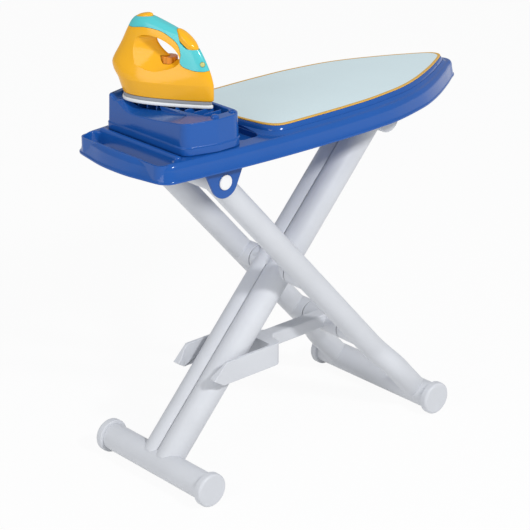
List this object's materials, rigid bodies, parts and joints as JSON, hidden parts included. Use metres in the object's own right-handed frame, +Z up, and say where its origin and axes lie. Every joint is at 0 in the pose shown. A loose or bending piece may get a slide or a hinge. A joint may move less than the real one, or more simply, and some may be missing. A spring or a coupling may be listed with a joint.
{
  "type": "toy ironing board",
  "caption": "Folding toy ironing board on crossed tube legs with a forked stay, a raised iron rest at the tail and a loose toy iron with buttons.",
  "frame": {"origin": "on the floor, below the middle of the board's length and width", "axes": "+X towards the nose of the board, +Y towards the board's left side seen from the tail, +Z up"},
  "size_m": [0.72, 0.2802, 0.7379],
  "materials": {
    "blue": "glossy blue moulding",
    "pad": "pale printed sheet with a golden border",
    "grey": "satin light grey moulding",
    "white": "white snap pin",
    "yellow": "glossy warm yellow moulding",
    "turquoise": "glossy turquoise moulding",
    "orange": "orange moulding",
    "pale": "pale grey sole",
    "band": "mid grey band",
    "steel": "plain zinc finish"
  },
  "bodies": {
    "board": {"board_shell": "blue", "ironing_pad": "pad", "iron_rest": "blue", "rest_screw_1": "steel", "rest_screw_2": "steel", "rest_screw_3": "steel", "rest_screw_4": "steel", "hinge_pin_near": "white", "hinge_pin_far": "white"},
    "outer_frame": {"outer_leg_near": "grey", "outer_leg_far": "grey", "outer_top_tube": "grey", "outer_foot_bar": "grey", "outer_foot_cap_near": "grey", "outer_foot_cap_far": "grey", "main_pivot_pin": "steel", "stay_pin": "steel"},
    "inner_frame": {"inner_leg": "grey", "inner_top_bar": "grey", "inner_foot_bar": "grey", "inner_foot_cap_near": "grey", "inner_foot_cap_far": "grey"},
    "stay": {"stay_fork": "grey"},
    "iron": {"iron_body": "yellow", "iron_handle_cover": "turquoise", "iron_skirt": "band", "iron_soleplate": "pale", "iron_indicator_lens": "yellow"},
    "rear_button": {"iron_rear_button": "yellow"},
    "front_button": {"iron_front_button": "yellow"},
    "dial": {"iron_dial": "orange"}
  },
  "joints": [
    {"name": "fold", "type": "hinge", "parent": "board", "child": "outer_frame", "pos_m": [-0.2294, 0, 0.5065], "axis": [0, -1, 0], "range_deg": [0, 40]},
    {"name": "scissor", "type": "hinge", "parent": "outer_frame", "child": "inner_frame", "pos_m": [-0.03984, 0, 0.29426], "axis": [0, 1, 0], "range_deg": [0, 80]},
    {"name": "stay_swing", "type": "hinge", "parent": "outer_frame", "child": "stay", "pos_m": [0.07762, 0, 0.16275], "axis": [0, -1, 0], "range_deg": [0, 30]},
    {"name": "iron_lift", "type": "slide", "parent": "board", "child": "iron", "axis": [0, 0, 1], "range_m": [0, 0.12]},
    {"name": "rear_button_press", "type": "slide", "parent": "iron", "child": "rear_button", "axis": [0, 0, -1], "range_m": [0, 0.002], "stiffness_N_per_m": 300, "springref_m": -0.004},
    {"name": "front_button_press", "type": "slide", "parent": "iron", "child": "front_button", "axis": [-0.1913, 0.5255, -0.829], "range_m": [0, 0.0015], "stiffness_N_per_m": 300, "springref_m": -0.004},
    {"name": "dial_turn", "type": "hinge", "parent": "iron", "child": "dial", "pos_m": [-0.2409, 0.00727, 0.6615], "axis": [0, 0, 1], "range_deg": [-120, 120]}
  ],
  "couplings": [
    {"joint": "scissor", "follows": "fold", "ratio": 2}
  ]
}
